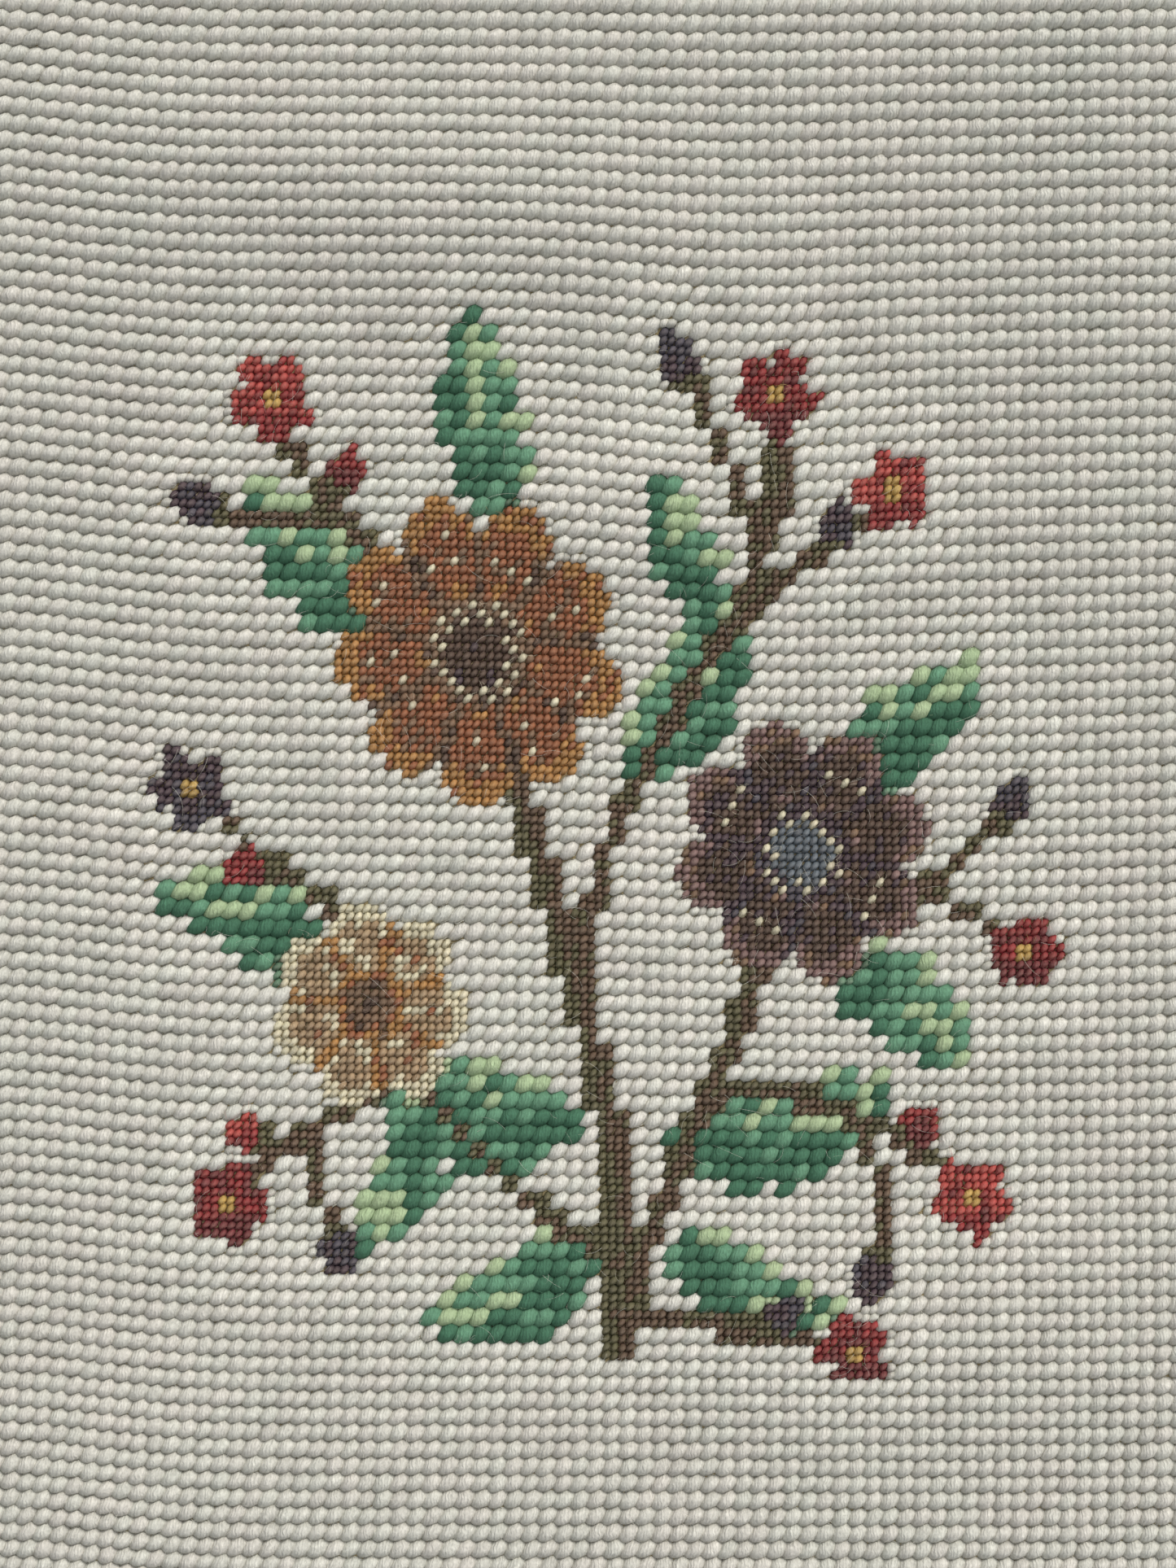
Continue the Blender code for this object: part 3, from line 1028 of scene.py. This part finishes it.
groundBands = 4  # the plain ground is one piece for each band, from the bottom up
bandOf = np.minimum(groundBands - 1, np.arange(cloth["stitchesUp"]) * groundBands // cloth["stitchesUp"])
alone = standingAlone()
stitchPieces = []
for band in range(groundBands):
    cells = (gros == "ground") & (bandOf == band)[None, :]
    stitchPieces.append(stitchPiece("ground_stitches_%d" % (band + 1), "ground", cells))
for wool in woolShades:
    if wool != "ground" and (gros == wool).any():
        stitchPieces.append(stitchPiece("stitches_" + wool, wool, gros == wool))
    if (petit == wool).any():
        stitchPieces.append(stitchPiece("fine_stitches_" + wool, wool, petit == wool, fine=True))
print("stitches", len(stitchPieces), "pieces at", round(time.time() - started, 1), "s")


# The canvas

canvasLook = {
    "threadWidth": 0.5,
    "threadHeight": 0.36,
    "pairGap": 0.3,  # from the middle of a pair to each of its threads
    "rise": 0.17,  # over and under the threads that it crosses
    "waver": 0.05,
    "waverPace": 0.9,
    "waverShift": 2.1,  # from thread to thread
    "sides": 4,
    "fullness": 1.3,  # a four-sided thread has less in its section than a round one
    "fibreShift": 1.7,  # of the fibre pattern, from thread to thread
    "sheetTop": -0.05,
    "sheetBottom": -0.3,
    "sheetSteps": (40, 50),
    "tuckedUnder": 0.8,  # meshes that a margin thread runs on under the stitches
    "unevenEnds": 0.9,
    "colour": (206, 186, 146),
    "roughness": 0.85,
    "fibres": {"Twist": 0.9, "Fineness": 6.0, "Ply Width": 0.36},
    # The strand's third value darkens the sheet under the stitches with painted shade.
    "strand": {"Streaks": 0.8, "Drift": 0.8, "Painted Shade": 0.9},
    "bump": 0.5,
    "bumpDistance": 0.08,
}


# Canvas threads side by side, woven over and under in plain weave though they lie in pairs.
# lanes are the threads' numbers, and start and end are in meshes along them.
def threadTubes(lanes, start, end, upright):
    look = canvasLook
    pitchAlong = cloth["meshUp"] if upright else cloth["meshAcross"]
    pitchAcross = cloth["meshAcross"] if upright else cloth["meshUp"]
    laneMesh, laneSide = lanes // 2, lanes % 2 * 2 - 1
    first, last = math.floor(start), math.ceil(end)
    pair = look["pairGap"] / pitchAlong
    stations = [mesh + 0.5 + offset for mesh in range(first, last) for offset in (-pair, pair)]
    stations = np.array([start] + [s for s in stations if start < s < end] + [end])
    offset = np.abs((stations - np.floor(stations)) - 0.5)
    crossing = np.isclose(offset, pair, atol=0.02)
    weft = 2 * np.floor(stations) + (stations - np.floor(stations) > 0.5)
    sign = np.where((weft[None, :] + lanes[:, None]) % 2 == 0, 1.0, -1.0) * (1 if upright else -1)
    height = look["rise"] * sign * crossing[None, :]
    uneven = rng.uniform(-1, 1, (3, len(lanes)))
    along = np.repeat(stations[None, :] * pitchAlong, len(lanes), 0)
    atStart, atEnd = np.isclose(stations, start), np.isclose(stations, end)
    outer = cloth["stitchesUp"] / 2 if upright else cloth["stitchesAcross"] / 2
    along[:, atStart] += (look["unevenEnds"] * uneven[0] * (start < -outer))[:, None]
    along[:, atEnd] += (look["unevenEnds"] * uneven[1] * (end > outer))[:, None]
    across = ((laneMesh + 0.5) * pitchAcross + laneSide * look["pairGap"])[:, None] + 0 * along
    across += look["waver"] * np.sin(along * look["waverPace"] + lanes[:, None] * look["waverShift"])
    turn = (np.arange(look["sides"]) + 0.5) / look["sides"] * math.tau
    sideways = look["threadWidth"] / 2 * np.cos(turn) * math.sqrt(look["fullness"])
    upward = look["threadHeight"] / 2 * np.sin(turn) * math.sqrt(look["fullness"])
    if upright:
        x = across[:, :, None] + sideways
        y = along[:, :, None] + 0 * sideways
    else:
        x = along[:, :, None] + 0 * sideways
        y = across[:, :, None] - sideways
    points = onCloth(x, y, height[:, :, None] + upward)[:, :, ::-1]
    girth = np.linspace(0, 1, look["sides"] + 1) * look["threadWidth"] * math.pi
    girth = girth[None, None, :] + lanes[:, None, None] * look["fibreShift"]
    uv = np.stack(np.broadcast_arrays(along[:, :, None], girth), -1)
    return points, uv, True, {"tint": uneven[2][:, None, None], "sunk": 0.0}


# The part of the canvas under the stitches, as one flat tube whose section runs over and back. Its colour is
# darkened all over with painted shade, as it shows only in the shaded holes between the stitches.
def coveredCanvas():
    look = canvasLook
    stepsAcross, stepsUp = look["sheetSteps"]
    columns = np.linspace(-fieldHalfAcross, fieldHalfAcross, stepsAcross + 1)
    rows = np.linspace(-fieldHalfUp, fieldHalfUp, stepsUp + 1)
    x = np.concatenate([columns, columns[::-1]])[None, None, :] + 0 * rows[None, :, None]
    y = rows[None, :, None] + 0 * x
    height = np.repeat([look["sheetTop"], look["sheetBottom"]], len(columns))[None, None, :] + 0 * x
    points = onCloth(x, y, height)
    uv = np.stack([np.concatenate([y, y[:, :, :1]], -1), np.concatenate([x, x[:, :, :1]], -1)], -1)
    # With sunk at 1 the whole sheet takes the full painted shade.
    return points, uv, True, {"tint": 0.0, "sunk": 1.0}


def canvasMaterial():
    look = canvasLook
    material, tree, shader = principled("canvasThread", look["roughness"])
    strandValues = dict(look["strand"], Wool=linear(look["colour"]))
    fibre = addYarnColour(tree, shader, look["fibres"], strandValues)
    addBump(tree, shader, fibre.outputs["Plies"], look["bump"], look["bumpDistance"])
    return material


def makeCanvas():
    halfAcross, halfUp = cloth["stitchesAcross"] // 2, cloth["stitchesUp"] // 2
    margin, tucked = cloth["marginMeshes"], canvasLook["tuckedUnder"]
    edgeAcross, edgeUp = halfAcross + margin, halfUp + margin
    bands = []
    for upright, half, edge, otherHalf, otherEdge in (
        (True, halfUp, edgeUp, halfAcross, edgeAcross),
        (False, halfAcross, edgeAcross, halfUp, edgeUp),
    ):
        before = np.arange(-2 * otherEdge, -2 * otherHalf)
        after = np.arange(2 * otherHalf, 2 * otherEdge)
        inside = np.arange(-2 * otherHalf, 2 * otherHalf)
        bands.append(threadTubes(np.concatenate([before, after]), -edge, edge, upright))
        bands.append(threadTubes(inside, half - tucked, edge, upright))
        bands.append(threadTubes(inside, -edge, -half + tucked, upright))
    canvas = stripMesh("canvas", bands + [coveredCanvas()])
    canvas.data.materials.append(canvasMaterial())
    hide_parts("canvas_panel")
    return canvas


canvas = makeCanvas()
print("canvas at", round(time.time() - started, 1), "s")


# Stray fibres

strayFibres = {
    "count": 1000,
    "onDesign": 160,
    "length": (1.5, 5.5),
    "radius": 0.018,
    "taper": 0.5,
    "girth": 0.1,
    "rings": 7,
    "sides": 3,
    "above": (1.2, 1.6),  # over the middle of the canvas
    "droop": 0.4,
    "endDroop": 0.12,
    "curl": 1.6,
    "inset": 3,  # from the edge of the worked field
    "colour": (232, 228, 216),
}


def strayFibre(name, x, y):
    look = strayFibres
    count, rings = len(x), look["rings"]
    length = rng.uniform(*look["length"], count)
    heading = rng.uniform(0, math.tau, count)
    curl = rng.uniform(-1, 1, count) * look["curl"]
    t = np.linspace(0, 1, rings)[None, :]
    angle = heading[:, None] + curl[:, None] * t
    step = length[:, None] / (rings - 1)
    pathX = x[:, None] + np.cumsum(np.cos(angle) * step, 1)
    pathY = y[:, None] + np.cumsum(np.sin(angle) * step, 1)
    top = rng.uniform(*look["above"], count)[:, None]
    arch = np.sin(math.pi * (look["endDroop"] + (1 - 2 * look["endDroop"]) * t))
    height = top * (1 - look["droop"] * (1 - arch))
    turn = np.arange(look["sides"]) / look["sides"] * math.tau
    thin = look["radius"] * (1 - look["taper"] * t)[:, :, None]
    acrossX = -np.sin(angle)[:, :, None] * np.cos(turn) * thin
    acrossY = np.cos(angle)[:, :, None] * np.cos(turn) * thin
    rise = np.sin(turn) * thin
    points = onCloth(pathX[:, :, None] + acrossX, pathY[:, :, None] + acrossY, height[:, :, None] + rise)
    girth = np.linspace(0, look["girth"], look["sides"] + 1)
    uv = np.stack(np.broadcast_arrays((t * length[:, None])[:, :, None], girth), -1)
    tint = rng.uniform(-1, 1, count)[:, None, None]
    piece = stripMesh(name, [(points, uv, True, {"tint": tint, "sunk": 0.0})])
    piece.data.materials.append(woolMaterial("strayWool", look["colour"]))
    return piece


def strayPlaces():
    halfX, halfY = fieldHalfAcross - strayFibres["inset"], fieldHalfUp - strayFibres["inset"]
    x = rng.uniform(-halfX, halfX, strayFibres["count"])
    y = rng.uniform(-halfY, halfY, strayFibres["count"])
    fineX, fineY = cellPlaces(2)
    chosen = rng.choice((petit != "").sum(), strayFibres["onDesign"])
    designX = fineX[petit != ""][chosen] * cloth["meshAcross"]
    designY = fineY[petit != ""][chosen] * cloth["meshUp"]
    return np.concatenate([x, designX]), np.concatenate([y, designY])


fuzz = strayFibre("stray_fibres", *strayPlaces())
print("stray fibres at", round(time.time() - started, 1), "s")


# Floor, light and camera

studio = {
    "floorSize": 30.0,
    "floorDrop": 0.0003,
    "floorColour": (226, 224, 219),
    "floorRoughness": 0.95,
    "sky": 0.6,
    "skyColour": (0.93, 0.96, 1.0, 1),
    "keyPlace": (0.3, 0.4, 0.3),
    "keyAngle": 24,
    "keyStrength": 2.97,
    "keyColour": (1.0, 0.985, 0.955),
}
photoView = {
    "lens": 60,
    "sensor": 36,
    "distance": 398,
    "tilt": 2.15,  # degrees towards the top of the design
    "aimHeight": 2.0,
}


def makeFloor():
    bpy.ops.mesh.primitive_plane_add(size=studio["floorSize"], location=(0, 0, -studio["floorDrop"]))
    floor = bpy.context.object
    floor.name = "floor"
    material, tree, shader = principled("floorPaper", studio["floorRoughness"])
    shader.inputs["Base Color"].default_value = linear(studio["floorColour"])
    floor.data.materials.append(material)
    floor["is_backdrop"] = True


def makeLight():
    world = bpy.data.worlds.new("studio")
    world.use_nodes = True
    sky = world.node_tree.nodes["Background"]
    sky.inputs["Color"].default_value = studio["skyColour"]
    sky.inputs["Strength"].default_value = studio["sky"]
    bpy.context.scene.world = world
    light = bpy.data.lights.new("key", "SUN")
    light.angle = math.radians(studio["keyAngle"])
    light.energy = studio["keyStrength"]
    light.color = studio["keyColour"]
    key = bpy.data.objects.new("key", light)
    key.location = studio["keyPlace"]
    bpy.context.scene.collection.objects.link(key)
    key.rotation_euler = key.location.to_track_quat("Z", "Y").to_euler()


def makeCamera():
    data = bpy.data.cameras.new("photoCamera")
    data.lens = photoView["lens"]
    data.sensor_width = photoView["sensor"]
    camera = bpy.data.objects.new("photoCamera", data)
    bpy.context.scene.collection.objects.link(camera)
    tilt = math.radians(photoView["tilt"])
    camera.location = (
        shiftX,
        shiftY + photoView["distance"] * math.sin(tilt) * mm,
        (photoView["aimHeight"] + photoView["distance"] * math.cos(tilt)) * mm,
    )
    camera.rotation_euler = (-tilt, 0, 0)
    bpy.context.scene.camera = camera


makeFloor()
makeLight()
makeCamera()
bpy.context.scene.view_settings.view_transform = "Standard"

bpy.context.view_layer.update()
triangles = {p.name: sum(len(f.vertices) - 2 for f in p.data.polygons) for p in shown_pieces()}
print("triangles", sum(triangles.values()), "largest", max(triangles.values()))
print("done at", round(time.time() - started, 1), "s")
